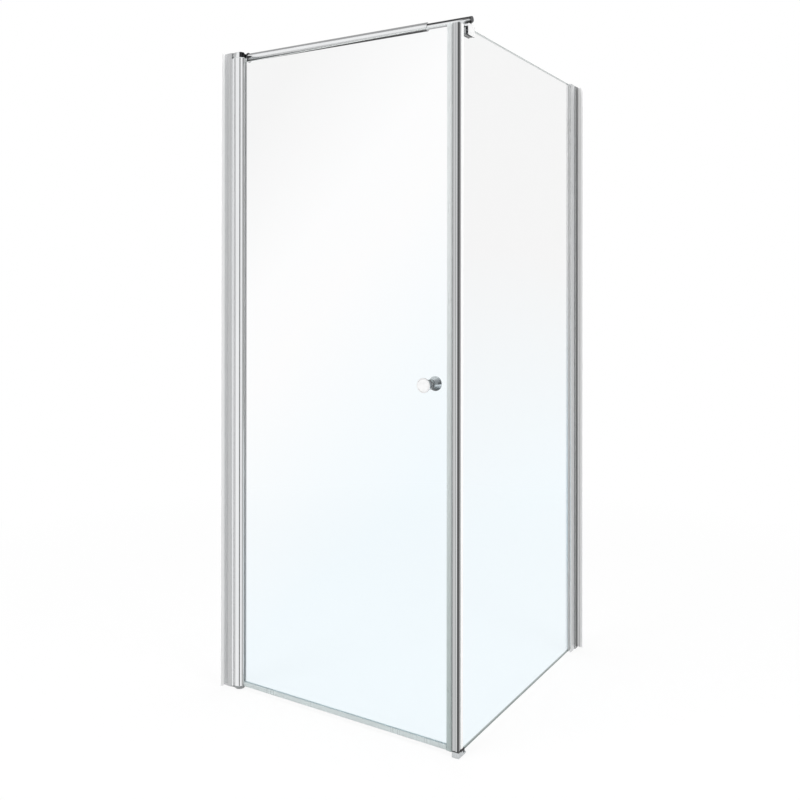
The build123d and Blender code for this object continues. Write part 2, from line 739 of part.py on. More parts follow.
# Door
save("door_glass", door_glass())
column_floor = hinge_x + column_pocket_floor
door_gasket = rect(column_floor, column_floor + column_gasket_depth, -half_pocket, half_pocket)
door_gasket -= rect(door_left, column_floor + 2 * column_gasket_depth, -half_glass, half_glass)
save("door_glass_gasket", rise(door_gasket, door_glass_bottom, column_top))
seal_magnet = magnet_section(door_right + seal_head / 2)
save("door_closing_seal", rise(closing_seal_section() - seal_magnet, closing_seal_bottom, panel_height))
save("door_magnet", rise(seal_magnet, closing_seal_bottom, panel_height))
save("door_bottom_seal", drip_seal())
save("outer_knob", knob(-1))
save("inner_knob", knob(1))
save("knob_stud", knob_stud())
save("knob_washers", knob_washers())

# Corner
save("corner_post", rise(post_section(), foot_height, post_top))
save("corner_post_cap", post_cap())
save("corner_foot", corner_foot())
save("corner_foot_screw", port_screw(0, port_y, foot_height / 2, foot_height, 1))
strip_magnet = magnet_section(-(post_width + strip_thickness) / 2)
save("post_magnet_strip", rise(post_strip_section() - strip_magnet, foot_height, post_top))
save("post_magnet", rise(strip_magnet, foot_height, post_top))
save("glass_setting_block", setting_block())

# Side panel
save("side_glass", pane(-half_glass, half_glass, 0, side_back, side_glass_bottom, panel_height))
front_gasket = rect(-half_pocket, half_pocket, -gasket_wall, post_back)
front_gasket -= rect(-half_glass, half_glass, 0, post_back + overrun)
save("side_glass_front_gasket", rise(front_gasket, side_glass_bottom, post_top + post_cap_thickness))
rear_gasket = patch(at_rear, pocket_floor, rear_jamb_reach, -half_pocket, half_pocket)
rear_gasket -= patch(at_rear, pocket_floor + gasket_wall, rear_jamb_reach + overrun, -half_glass, half_glass)
save("side_glass_rear_gasket", rise(rear_gasket, side_glass_bottom, panel_height))
save("rear_jamb_profile", rear_jamb())
save("rear_jamb_cap", rear_cap())
save("rear_wall_channel", wall_channel(at_rear, panel_height))
save("rear_adjust_screws", adjust_screws(at_rear))
save("rear_screw_caps", screw_caps(at_rear))

# Stabiliser bar and its clamp
bar_sleeve_pieces(bar_at(-sleeve_end_from_glass))
bar_rod_pieces(bar_at(-sleeve_end_from_glass))
save("clamp_body", clamp_body())
save("clamp_pressure_plate", clamp_sheet(-clamp_plate_face, -clamp_pad_face))
save("clamp_pads", Compound([clamp_sheet(side * half_glass, side * clamp_pad_face) for side in (-1, 1)]))
save("clamp_screws", clamp_screws())
save("rod_clip", rod_clip())
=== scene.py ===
"""Finishes and fine detail for a corner shower enclosure with a pivot door on a round column."""

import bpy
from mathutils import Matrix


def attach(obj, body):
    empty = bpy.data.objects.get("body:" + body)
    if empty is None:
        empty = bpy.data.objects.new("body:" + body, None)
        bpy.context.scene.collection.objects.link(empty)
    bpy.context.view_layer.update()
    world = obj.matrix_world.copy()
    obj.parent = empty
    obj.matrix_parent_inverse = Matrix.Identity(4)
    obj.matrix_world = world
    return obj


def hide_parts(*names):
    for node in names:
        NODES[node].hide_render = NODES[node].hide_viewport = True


bl_info = {
    "name": "Corner Shower Enclosure",
    "version": (1, 0, 0),
    "blender": (4, 5, 0),
    "location": "View3D > Sidebar > Enclosure",
    "description": "Dresses the packed shower enclosure in chrome, glass and seals",
    "category": "Object",
}

from math import cos, pi, radians, sin, tan

import bmesh
import bpy
from bpy.props import FloatProperty, FloatVectorProperty, PointerProperty
from bpy.types import Operator, Panel, PropertyGroup
from mathutils import Matrix, Vector

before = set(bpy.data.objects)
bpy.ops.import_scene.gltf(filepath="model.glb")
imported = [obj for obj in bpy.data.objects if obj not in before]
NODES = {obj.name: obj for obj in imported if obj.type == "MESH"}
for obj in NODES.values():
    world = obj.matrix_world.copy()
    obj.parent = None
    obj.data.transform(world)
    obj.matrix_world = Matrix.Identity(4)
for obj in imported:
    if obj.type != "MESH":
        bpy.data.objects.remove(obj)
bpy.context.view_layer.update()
MM = 0.001
WHITE = (1, 1, 1)
X, Y, Z = 0, 1, 2

# Tones across a section, each with its place in millimetres: painted reflection bands on the corner post's
# front and side, and painted reflection and shade on the side of the rear channel and profile
FRONT_PAINTED_REFLECTION = ((-10.0, 0.38), (-7.4, 0.42), (-6.7, 0.64), (-1.8, 0.66), (-1.2, 0.5), (1.0, 0.5),
               (1.6, 0.86), (4.0, 0.86), (4.7, 0.24), (7.0, 0.13), (9.5, 0.13), (10.5, 0.24))
SIDE_PAINTED_REFLECTION = ((-12.5, 0.2), (-11.2, 0.2), (-10.8, 0.32), (-7.5, 0.34), (-6.0, 0.42), (-1.6, 0.44),
              (-0.8, 1.0), (12.5, 1.0))
REAR_PAINTED_REFLECTION_AND_SHADE = ((746.0, 0.78), (751.0, 0.78), (756.0, 0.7), (764.0, 0.72), (770.0, 0.9), (778.0, 0.95),
              (780.5, 0.6), (785.0, 0.42), (789.0, 0.2), (795.0, 0.2), (801.0, 0.42), (805.0, 0.8),
              (808.0, 1.0))
# Painted reflection on the bar's sleeve: tones by how far the surface faces up
UNDERSIDE_PAINTED_REFLECTION = ((-1.0, 0.13), (-0.95, 0.15), (-0.87, 0.2), (-0.78, 0.42), (-0.68, 0.72), (-0.6, 0.66),
                   (-0.49, 0.76), (-0.25, 1.0), (1.0, 1.0))
# Places where a mask is 0 and where it is full, in metres on the piece. Four of them make a band.
CHANNEL_FRONT, CHANNEL_SIDE = (0.4, 0.39), (0.0095, 0.0097)     # left channel's front, rear one's side
CHANNEL_FRONT_SHADE = (-0.7560, -0.7675)
LEFT_FLANGE, REAR_FLANGE = (-0.0121, -0.0125), (0.0121, 0.0125)
FLANGE_RIM = (0.0150, 0.0156, 0.0190, 0.0196)
POST_SIDE, POST_PAINTED_HIGHLIGHT = (0.0085, 0.0092), (-0.0014, -0.0002)
ROD_END_UNDER, ROD_END_TOP = (-0.012, -0.006), (-0.030, -0.010)
CLAMP_SEAT = (1.8215, 1.8205)
KNOB_NECKS = (-0.0302, -0.0285, 0.0080, 0.0086)
KNOB_FACE, KNOB_INSIDE = (-0.0305, -0.0310), (0.0082, 0.0088)
BRACKET_BACK, BRACKET_RECESS = (-0.004, -0.001), (-0.7422, -0.7416, -0.7368, -0.7362)
BRACKET_RECESS_SHADE = (1.8385, 1.8365)
GASKET_LIP = (0.0031, 0.0034)
SEAL_LOW = (1.3, 0.1)
# How the fine lines run on a piece
UPRIGHT = {"stretch": (1, 1, 0.004)}
ALONG_BAR = {"stretch": (0.004, 1, 1)}
CAST = {"stretch": (1, 1, 1), "lines": 260.0, "depth": 0.1}

# The door glass's tint and painted reflection climb from its hinge edge, whose X is given in metres
TINT_AND_REFLECTION_SLOPE, HINGE_EDGE = -0.925, -0.7
GLASS_WAVER = 0.12              # how far the tint and painted reflection waver, in metres
EDGE_ROUGHNESS, EDGE_MATT = 0.25, 0.45      # the ground edges' roughness, and their matt share
GLASS_IOR, SEAL_IOR = 1.2, 1.3
# Heights over which the side glass darkens at its foot and at its top, in metres, with the tones there
SIDE_BANDS = ((0.0108, 0.0098, (0.25, 0.29, 0.28)), (1.8150, 1.8165, (0.56, 0.58, 0.58)))

# Places in millimetres: the bar's axis, and along it the ends of sleeve and rod; the hinge axis and the
# knobs; the screws of bracket and clamp; the wall profiles' screw caps
BAR_START, BAR_END = Vector((-718.0, 29.0, 1841.5)), Vector((0.0, 57.5, 1841.5))
SLEEVE_END, ROD_END = 597.47, 726.57
HINGE_X = -718.0
KNOB = (-81.0, 0.0, 917.0)
BRACKET_SCREWS_X = (-750.5, -742.5)
CLAMP_SCREWS_Y, CLAMP_SCREW_HEIGHT = (48.5, 66.5), 1811.0
CAP_HEIGHTS = (218.4, 910.0, 1601.6)
# Edges that turn by more than these are shaded sharp, and are rounded on softened pieces
SHARP_ANGLE, SOFTENED_ANGLE = radians(34), radians(32)

# Cards around the enclosure that show in reflections: from angle, to angle in degrees, and tone
DRUM = ((-180, -140, 0.58), (-73, -57, 0.1), (-24, 0, 0.5), (0, 22, 0.13), (22, 54, 0.34),
        (78, 165, 0.42), (165, 180, 0.6))
DRUM_CENTRE, DRUM_RADIUS = (-0.4, 0.3), 5.0
DRUM_LOW, DRUM_HIGH = -3.2, 6.0
CARD_STEPS = 12                 # flat strips that make up a curved card
DRUM_ENDS = (("flag_low", DRUM_LOW, 0.5), ("flag_high", DRUM_HIGH, 0.40))
DRUM_END_RADII = (0.01, 5.3)
# Soft boxes: name, place and size in metres, and power in watts
LAMPS = (("soft_box_front", (-1.6, -3.2, 3.0), 2.2, 60.0), ("soft_box_right", (2.8, -0.6, 2.4), 1.8, 42.0),
         ("soft_box_top", (-0.4, 0.4, 4.2), 2.4, 40.0))
LAMP_TARGET = (-0.35, 0.35, 0.9)
# The floor reaches this far each way, in metres, and lies a little below the feet
FLOOR_REACH, FLOOR_HEIGHT, FLOOR_CENTRE = 30.0, -0.001, (-0.4, 0.4, 0)
SHADOW_REACH = (2.6, 0.9)       # distances from the floor's centre where its shading starts and is full
# The camera's place in metres, its turn and roll in degrees, and its upward shift in picture widths
CAMERA_PLACE = (1.020386, -1.904624, 1.139338)
CAMERA_TURN, CAMERA_ROLL, CAMERA_SHIFT = 31.99, 0.06, -0.12924


# Settings

def colour(name, description, value):
    """Colour setting."""
    return FloatVectorProperty(name=name, description=description, subtype="COLOR", size=3,
                               min=0, max=1, default=value)


def share(name, description, value):
    """Setting between 0 and 1."""
    return FloatProperty(name=name, description=description, subtype="FACTOR", min=0, max=1, default=value)


class EnclosureFinish(PropertyGroup):
    """Colours and gloss of the enclosure's materials."""
    chrome: colour("Chrome", "Tone of the bright metal", (0.86, 0.87, 0.88))
    chrome_gloss: share("Chrome roughness", "Roughness of the bright metal", 0.09)
    steel: colour("Steel", "Tone of the screws and pins", (0.62, 0.63, 0.64))
    # The glass tones are partly the glass's own tint and partly painted reflection; the middle one is a
    # painted highlight
    glass_cool: colour("Glass, low", "Tint of the lower part of the panes", (0.893, 0.960, 0.994))
    glass_painted_highlight: colour("Glass, middle", "Tint of the middle of the door's pane", (0.98, 0.982, 0.985))
    glass_plain: colour("Glass, high", "Tint of the upper part of the panes", (0.914, 0.914, 0.914))
    glass_edge: colour("Glass edge", "Tone of the ground edges", (0.80, 0.86, 0.85))
    seal: colour("Seal", "Tone of the clear seals", (0.90, 0.93, 0.93))
    seal_low: colour("Seal, low", "Tone of the clear seals near the tray", (0.58, 0.65, 0.64))
    grey_plastic: colour("Grey plastic", "Tone of feet, caps and plugs", (0.55, 0.57, 0.58))
    dark_plastic: colour("Dark plastic", "Tone of the rod's end cap", (0.06, 0.06, 0.065))
    white_plastic: colour("White plastic", "Tone of the plain bearings", (0.88, 0.88, 0.86))
    magnet: colour("Magnet", "Tone of the magnets in the seals", (0.10, 0.10, 0.11))
    rubber: colour("Rubber", "Tone of the setting block", (0.035, 0.035, 0.037))


class EnclosureStage(PropertyGroup):
    """Studio around the enclosure."""
    floor: colour("Floor", "Tone of the floor", (0.93, 0.93, 0.93))
    shadow: share("Shadow", "How much of the floor's shading shows", 0.14)
    sky: share("Sky", "Soft light from all around", 0.62)
    lens: FloatProperty(name="Lens", description="Focal length of the camera", unit="CAMERA",
                        min=1, default=39.128)


# Nodes

def add(tree, kind, inputs=None, **settings):
    """Adds a node. An input is a value, or an output socket to link."""
    node = tree.nodes.new(kind)
    for key, value in settings.items():
        setattr(node, key, value)
    for key, value in (inputs or {}).items():
        if isinstance(value, bpy.types.NodeSocket):
            tree.links.new(value, node.inputs[key])
        else:
            node.inputs[key].default_value = value
    return node


def math(tree, operation, first, second=0.0, clamp=False):
    """One arithmetic step."""
    step = add(tree, "ShaderNodeMath", {0: first, 1: second}, operation=operation, use_clamp=clamp)
    return step.outputs[0]


def plus(tree, first, second, clamp=False):
    """Sum of two values."""
    return math(tree, "ADD", first, second, clamp)


def minus(tree, first, second, clamp=False):
    """Difference of two values."""
    return math(tree, "SUBTRACT", first, second, clamp)


def times(tree, first, second):
    """Product of two values or masks."""
    return math(tree, "MULTIPLY", first, second)


def either(tree, first, second):
    """Larger one of two masks."""
    return math(tree, "MAXIMUM", first, second)


def ramp(tree, value, low, high):
    """Straight ramp from 0 at low to 1 at high."""
    return add(tree, "ShaderNodeMapRange", {0: value, 1: low, 2: high}, clamp=True).outputs[0]


def band(tree, value, low, start, end, high):
    """Mask that is 1 from start to end, and 0 below low and above high."""
    return times(tree, ramp(tree, value, low, start), ramp(tree, value, high, end))


def grey(tone):
    """Neutral colour."""
    return (tone, tone, tone)


def rgba(colour_or_socket):
    """Colour with its alpha, or a socket as it is."""
    if isinstance(colour_or_socket, bpy.types.NodeSocket):
        return colour_or_socket
    return (*colour_or_socket[:3], 1)


def mix(tree, factor, first, second, blend="MIX"):
    """Mixes two colours."""
    return add(tree, "ShaderNodeMix", {0: factor, 6: rgba(first), 7: rgba(second)}, data_type="RGBA",
               blend_type=blend).outputs[2]


def mix_shaders(tree, factor, first, second):
    """Mixes two shaders."""
    return add(tree, "ShaderNodeMixShader", {0: factor, 1: first, 2: second}).outputs[0]


def own_place(tree):
    """Place on the piece, in metres."""
    return add(tree, "ShaderNodeTexCoord").outputs["Object"]


def axes(tree):
    """The three parts of a place on the piece."""
    return add(tree, "ShaderNodeSeparateXYZ", {0: own_place(tree)}).outputs


def facing(tree):
    """The surface's true normal in the piece's own axes, so that it turns with the piece."""
    normal = add(tree, "ShaderNodeNewGeometry").outputs["True Normal"]
    own = add(tree, "ShaderNodeVectorTransform", {0: normal}, vector_type="NORMAL", convert_from="WORLD",
              convert_to="OBJECT").outputs[0]
    return add(tree, "ShaderNodeSeparateXYZ", {0: own}).outputs


def face_mask(tree, axis, low, high):
    """Mask by how far the surface faces along an axis: 0 at low, 1 at high."""
    return ramp(tree, facing(tree)[axis], low, high)


def noise(tree, scale, detail, place=None):
    """Noise over the piece's box, or at a given place."""
    inputs = {"Scale": scale, "Detail": detail}
    if place is not None:
        inputs["Vector"] = place
    return add(tree, "ShaderNodeTexNoise", inputs).outputs[0]


def tone_ramp(tree, value, stops, unit=MM):
    """Tones at places across a section, which are given in this unit."""
    low, high = stops[0][0], stops[-1][0]
    node = add(tree, "ShaderNodeValToRGB", {0: ramp(tree, value, low * unit, high * unit)})
    elements = node.color_ramp.elements
    for element, (_, tone) in ((elements[0], stops[0]), (elements[1], stops[-1])):
        element.color = rgba(grey(tone))
    for spot, tone in stops[1:-1]:
        elements.new((spot - low) / (high - low)).color = rgba(grey(tone))
    return node.outputs["Color"]


def bump(tree, height, strength, distance):
    """Normal that follows a height."""
    inputs = {"Strength": strength, "Distance": distance, "Height": height}
    return add(tree, "ShaderNodeBump", inputs).outputs[0]


# Node groups

def new_group(name, inputs, outputs):
    """Node group with named sockets: its tree, the values that come in and the sockets that go out."""
    group = bpy.data.node_groups.new(name, "ShaderNodeTree")
    for label, kind, value in inputs:
        socket = group.interface.new_socket(name=label, in_out="INPUT", socket_type="NodeSocket" + kind)
        socket.default_value = value
    for label, kind in outputs:
        group.interface.new_socket(name=label, in_out="OUTPUT", socket_type="NodeSocket" + kind)
    return group, group.nodes.new("NodeGroupInput").outputs, group.nodes.new("NodeGroupOutput").inputs


def drawn_lines_group():
    """Fine lines that a die or a polishing belt leaves along a metal piece."""
    group, source, sink = new_group("Drawn lines", [
        ("Stretch", "Vector", (1, 1, 0.01)), ("Lines", "Float", 900.0), ("Roughness", "Float", 0.09),
        ("Variation", "Float", 0.05), ("Depth", "Float", 0.2)],
        [("Roughness", "Float"), ("Height", "Float")])
    place = own_place(group)
    stretched = add(group, "ShaderNodeVectorMath", {0: place, 1: source["Stretch"]},
                    operation="MULTIPLY").outputs[0]
    fine = noise(group, source["Lines"], 2.0, stretched)
    broad = noise(group, 9.0, 4.0, place)
    change = minus(group, plus(group, times(group, fine, 0.6), times(group, broad, 0.8)), 0.7)
    rough = plus(group, source["Roughness"], times(group, change, source["Variation"]), clamp=True)
    group.links.new(rough, sink["Roughness"])
    group.links.new(times(group, fine, source["Depth"]), sink["Height"])


def moulded_grain_group():
    """Fine grain and slight change of tone of moulded plastic and rubber."""
    group, source, sink = new_group("Moulded grain", [
        ("Colour", "Color", (0.5, 0.5, 0.5, 1)), ("Grain", "Float", 1400.0), ("Change", "Float", 0.12),
        ("Roughness", "Float", 0.45)], [("Colour", "Color"), ("Roughness", "Float"), ("Height", "Float")])
    place = own_place(group)
    change = times(group, minus(group, noise(group, 25.0, 5.0, place), 0.5), source["Change"])
    tone = add(group, "ShaderNodeHueSaturation", {"Color": source["Colour"],
                                                 "Value": plus(group, 1.0, change)}).outputs[0]
    group.links.new(tone, sink["Colour"])
    group.links.new(plus(group, source["Roughness"], change, clamp=True), sink["Roughness"])
    group.links.new(noise(group, source["Grain"], 3.0, place), sink["Height"])


def water_marks_group():
    """Faint rings of dried drops, in patches, as on used glass and chrome."""
    group, source, sink = new_group("Water marks", [("Size", "Float", 90.0), ("Amount", "Float", 0.1)],
                                    [("Mask", "Float")])
    place = own_place(group)
    drops = add(group, "ShaderNodeTexVoronoi", {"Vector": place, "Scale": source["Size"],
                                                "Randomness": 1.0}).outputs["Distance"]
    off_ring = math(group, "ABSOLUTE", minus(group, drops, 0.28))
    ring = minus(group, 1.0, times(group, off_ring, 14.0), clamp=True)
    patchy = ramp(group, noise(group, 3.0, 3.0, place), 0.5, 0.75)
    group.links.new(times(group, times(group, ring, patchy), source["Amount"]), sink["Mask"])


def place_group(tree, name, inputs):
    """Places a node group in a material with its own values, and gives its outputs."""
    return add(tree, "ShaderNodeGroup", inputs, node_tree=bpy.data.node_groups[name]).outputs


# Materials
# Masks come from places on the piece and from how far the surface faces along an axis, from -1 to 1

def empty_tree(name):
    """Node tree of a new material, without nodes."""
    material = bpy.data.materials.new(name)
    material.use_nodes = True
    material.node_tree.nodes.clear()
    return material.node_tree


def show(tree, surface, kind="ShaderNodeOutputMaterial"):
    """Makes a shader the tree's surface."""
    add(tree, kind, {"Surface": surface})


def tint_by(tree, shader, tones):
    """Multiplies the shader's base colour by a tone."""
    base = shader.inputs["Base Color"]
    tree.links.new(mix(tree, 1.0, base.links[0].from_socket, tones, "MULTIPLY"), base)


def tint(tree, shader, mask, tone):
    """Multiplies the shader's base colour by a tone where the mask is 1."""
    tint_by(tree, shader, mix(tree, mask, WHITE, tone))


def paint_pale_highlight(tree, shader, mask, tone):
    """Paints a highlight: turns the masked area from bright metal into pale matt satin."""
    base = shader.inputs["Base Color"]
    tree.links.new(mix(tree, mask, base.links[0].from_socket, tone), base)
    tree.links.new(minus(tree, 1.0, mask), shader.inputs["Metallic"])


def chrome_material(name, tone, gloss, stretch, lines=900.0, depth=0.2, variation=0.05):
    """Bright metal with fine lines along the piece."""
    tree = empty_tree(name)
    finish = place_group(tree, "Drawn lines", {"Stretch": stretch, "Lines": lines, "Roughness": gloss,
                                               "Variation": variation, "Depth": depth})
    marks = place_group(tree, "Water marks", {"Size": 140.0, "Amount": 0.05})
    worn = ramp(tree, noise(tree, 4.0, 3.0), 0.35, 0.7)
    shader = add(tree, "ShaderNodeBsdfPrincipled", {
        "Base Color": mix(tree, worn, tone, [0.94 * part for part in tone]), "Metallic": 1.0,
        "Roughness": plus(tree, finish["Roughness"], marks["Mask"], clamp=True),
        "Normal": bump(tree, finish["Height"], 0.05, 0.0001)})
    show(tree, shader.outputs[0])
    return tree, shader


def channel_material(name, tone, gloss):
    """Satin wall channel: painted shade and reflection on its legs, and a painted pale highlight on its
    flange, darker at the rim.
    """
    tree, shader = chrome_material(name, tone, gloss, **UPRIGHT, variation=0.02)
    x, y, _ = axes(tree)
    front = times(tree, face_mask(tree, Y, -0.7, -0.9), ramp(tree, y, *CHANNEL_FRONT))
    side = times(tree, face_mask(tree, X, 0.7, 0.9), ramp(tree, x, *CHANNEL_SIDE))
    tint(tree, shader, front, mix(tree, ramp(tree, x, *CHANNEL_FRONT_SHADE), grey(0.62), grey(0.86)))
    tint(tree, shader, side, tone_ramp(tree, y, REAR_PAINTED_REFLECTION_AND_SHADE))
    flange = either(tree, ramp(tree, y, *LEFT_FLANGE), ramp(tree, x, *REAR_FLANGE))
    rim = band(tree, x, *FLANGE_RIM)
    paint_pale_highlight(tree, shader, flange, mix(tree, rim, grey(0.99), grey(0.72)))


def post_material(name, tone, gloss):
    """Corner post: painted reflection bands across its two outer faces, and a painted highlight on the rear
    part of its side.
    """
    tree, shader = chrome_material(name, tone, gloss, **UPRIGHT)
    x, y, _ = axes(tree)
    on_side = ramp(tree, x, *POST_SIDE)
    front, side = tone_ramp(tree, x, FRONT_PAINTED_REFLECTION), tone_ramp(tree, y, SIDE_PAINTED_REFLECTION)
    tint_by(tree, shader, mix(tree, on_side, front, side))
    paint_pale_highlight(tree, shader, times(tree, on_side, ramp(tree, y, *POST_PAINTED_HIGHLIGHT)), grey(0.95))


def rod_material(name, tone, gloss):
    """Sliding rod: bright, with a painted dark reflection along its top and at its free end's underside."""
    tree, shader = chrome_material(name, tone, gloss, **ALONG_BAR)
    x = axes(tree)[X]
    under = times(tree, ramp(tree, x, *ROD_END_UNDER), face_mask(tree, Z, -0.45, -0.6))
    end_top = times(tree, ramp(tree, x, *ROD_END_TOP), face_mask(tree, Z, -0.3, -0.1))
    dark = either(tree, either(tree, face_mask(tree, Z, 0.0, 0.12), under), end_top)
    tint(tree, shader, dark, grey(0.16))


def sleeve_material(name, tone, gloss):
    """Bar's sleeve: bright, with a painted reflection that darkens it toward its underside."""
    tree, shader = chrome_material(name, tone, gloss, **ALONG_BAR)
    tint_by(tree, shader, tone_ramp(tree, facing(tree)[Z], UNDERSIDE_PAINTED_REFLECTION, unit=1.0))


def clamp_material(name, tone, gloss):
    """Clamp: a painted pale highlight on its outer plate, and painted shade on its narrow sides below the
    clip's seat.
    """
    tree, shader = chrome_material(name, tone, gloss, **CAST)
    narrow = either(tree, face_mask(tree, Y, -0.75, -0.9), face_mask(tree, Z, -0.6, -0.8))
    below_seat = ramp(tree, axes(tree)[Z], *CLAMP_SEAT)
    tint(tree, shader, times(tree, narrow, below_seat), (0.08, 0.08, 0.085))
    paint_pale_highlight(tree, shader, face_mask(tree, X, 0.8, 0.95), grey(0.84))


def knob_material(name, tone, gloss):
    """Knobs: painted highlight on the faces, painted shade on the necks, and painted reflection on the
    inner cone, paler on top and darker below.
    """
    tree, shader = chrome_material(name, tone, gloss, **CAST)
    y = axes(tree)[Y]
    tint(tree, shader, band(tree, y, *KNOB_NECKS), grey(0.22))
    tint(tree, shader, ramp(tree, y, *KNOB_FACE), (1.12, 1.11, 1.1))
    inside = ramp(tree, y, *KNOB_INSIDE)
    tint(tree, shader, times(tree, inside, face_mask(tree, Z, -0.05, -0.6)), (0.2, 0.21, 0.21))
    high = times(tree, times(tree, inside, face_mask(tree, Z, 0.1, 0.6)), face_mask(tree, X, 0.75, 0.35))
    paint_pale_highlight(tree, shader, times(tree, high, 0.6), (0.8, 0.82, 0.81))


def bracket_material(name, tone, gloss):
    """Hinge bracket: bright front and top, a painted dark reflection on the side toward the door, and
    painted shade in the recess between.
    """
    tree, shader = chrome_material(name, tone, gloss, **CAST)
    x, y, z = axes(tree)
    painted_dark_side = either(tree, face_mask(tree, X, 0.25, 0.45), ramp(tree, y, *BRACKET_BACK))
    tint(tree, shader, times(tree, painted_dark_side, face_mask(tree, Z, 0.95, 0.8)), (0.05, 0.05, 0.055))
    recess = band(tree, x, *BRACKET_RECESS)
    tint(tree, shader, recess, mix(tree, ramp(tree, z, *BRACKET_RECESS_SHADE), grey(0.45), grey(0.15)))


def plastic_material(name, tone, rough=0.45):
    """Moulded plastic or rubber with fine grain."""
    tree = empty_tree(name)
    finish = place_group(tree, "Moulded grain", {"Colour": rgba(tone), "Grain": 1400.0, "Change": 0.12,
                                                 "Roughness": rough})
    shader = add(tree, "ShaderNodeBsdfPrincipled", {
        "Base Color": finish["Colour"], "Roughness": finish["Roughness"],
        "Normal": bump(tree, finish["Height"], 0.15, 0.0001)})
    show(tree, shader.outputs[0])


def seal_material(name, tone, low_tone):
    """Clear flexible PVC, darker and slightly green towards the bottom, with lines along its length."""
    tree = empty_tree(name)
    lines = place_group(tree, "Drawn lines", {"Stretch": (1, 1, 0.02), "Lines": 500.0, "Roughness": 0.3,
                                              "Variation": 0.2, "Depth": 0.4})
    by_height = mix(tree, ramp(tree, axes(tree)[Z], *SEAL_LOW), tone, low_tone)
    finish = place_group(tree, "Moulded grain", {"Colour": by_height, "Grain": 300.0, "Change": 0.1,
                                                 "Roughness": 0.3})
    shader = add(tree, "ShaderNodeBsdfPrincipled", {
        "Base Color": finish["Colour"], "Roughness": lines["Roughness"], "Transmission Weight": 0.3,
        "IOR": SEAL_IOR, "Normal": bump(tree, lines["Height"], 0.2, 0.0002)})
    show(tree, shader.outputs[0])
    return tree, shader


def panel_gasket_material(name, tone):
    """Side glass's gasket: pale around the glass, with painted shade on its outer lip."""
    tree, shader = seal_material(name, tone, tone)
    tint(tree, shader, ramp(tree, axes(tree)[X], *GASKET_LIP), grey(0.7))


def glass_material(name, edge, face_axis, across, stops, bands=()):
    """Toughened float glass with a faint tint and a painted reflection that change slowly over the pane.

    The tint and painted reflection follow the stops along a direction, and the bands add tones at given
    heights. The ground edges, which don't face along the given axis, are partly matt. Shadow rays pass
    through the pane.
    """
    tree = empty_tree(name)
    place = own_place(tree)
    slope = add(tree, "ShaderNodeVectorMath", {0: place, 1: across},
                operation="DOT_PRODUCT").outputs["Value"]
    along = plus(tree, slope, times(tree, minus(tree, noise(tree, 1.5, 2.0, place), 0.5), GLASS_WAVER))
    tone = stops[0][1]
    for (low, _), (high, next_tone) in zip(stops, stops[1:]):
        tone = mix(tree, ramp(tree, along, low, high), tone, next_tone)
    for low, high, band_tone in bands:
        tone = mix(tree, ramp(tree, axes(tree)[Z], low, high), tone, band_tone)
    on_edge = ramp(tree, math(tree, "ABSOLUTE", facing(tree)[face_axis]), 0.9, 0.5)
    marks = place_group(tree, "Water marks", {"Size": 60.0, "Amount": 0.03})["Mask"]
    polished = add(tree, "ShaderNodeBsdfPrincipled", {
        "Base Color": mix(tree, on_edge, tone, edge),
        "Roughness": plus(tree, marks, times(tree, on_edge, EDGE_ROUGHNESS), clamp=True),
        "Transmission Weight": 1.0, "IOR": GLASS_IOR, "Specular IOR Level": 0.5}).outputs[0]
    matt, through = (add(tree, kind, {0: rgba(edge)}).outputs[0]
                     for kind in ("ShaderNodeBsdfDiffuse", "ShaderNodeBsdfTranslucent"))
    ground = mix_shaders(tree, 0.5, matt, through)
    body = mix_shaders(tree, times(tree, on_edge, EDGE_MATT), polished, ground)
    clear = add(tree, "ShaderNodeBsdfTransparent", {"Color": (0.95, 0.97, 0.97, 1)}).outputs[0]
    shadow = add(tree, "ShaderNodeLightPath").outputs["Is Shadow Ray"]
    show(tree, mix_shaders(tree, shadow, body, clear))


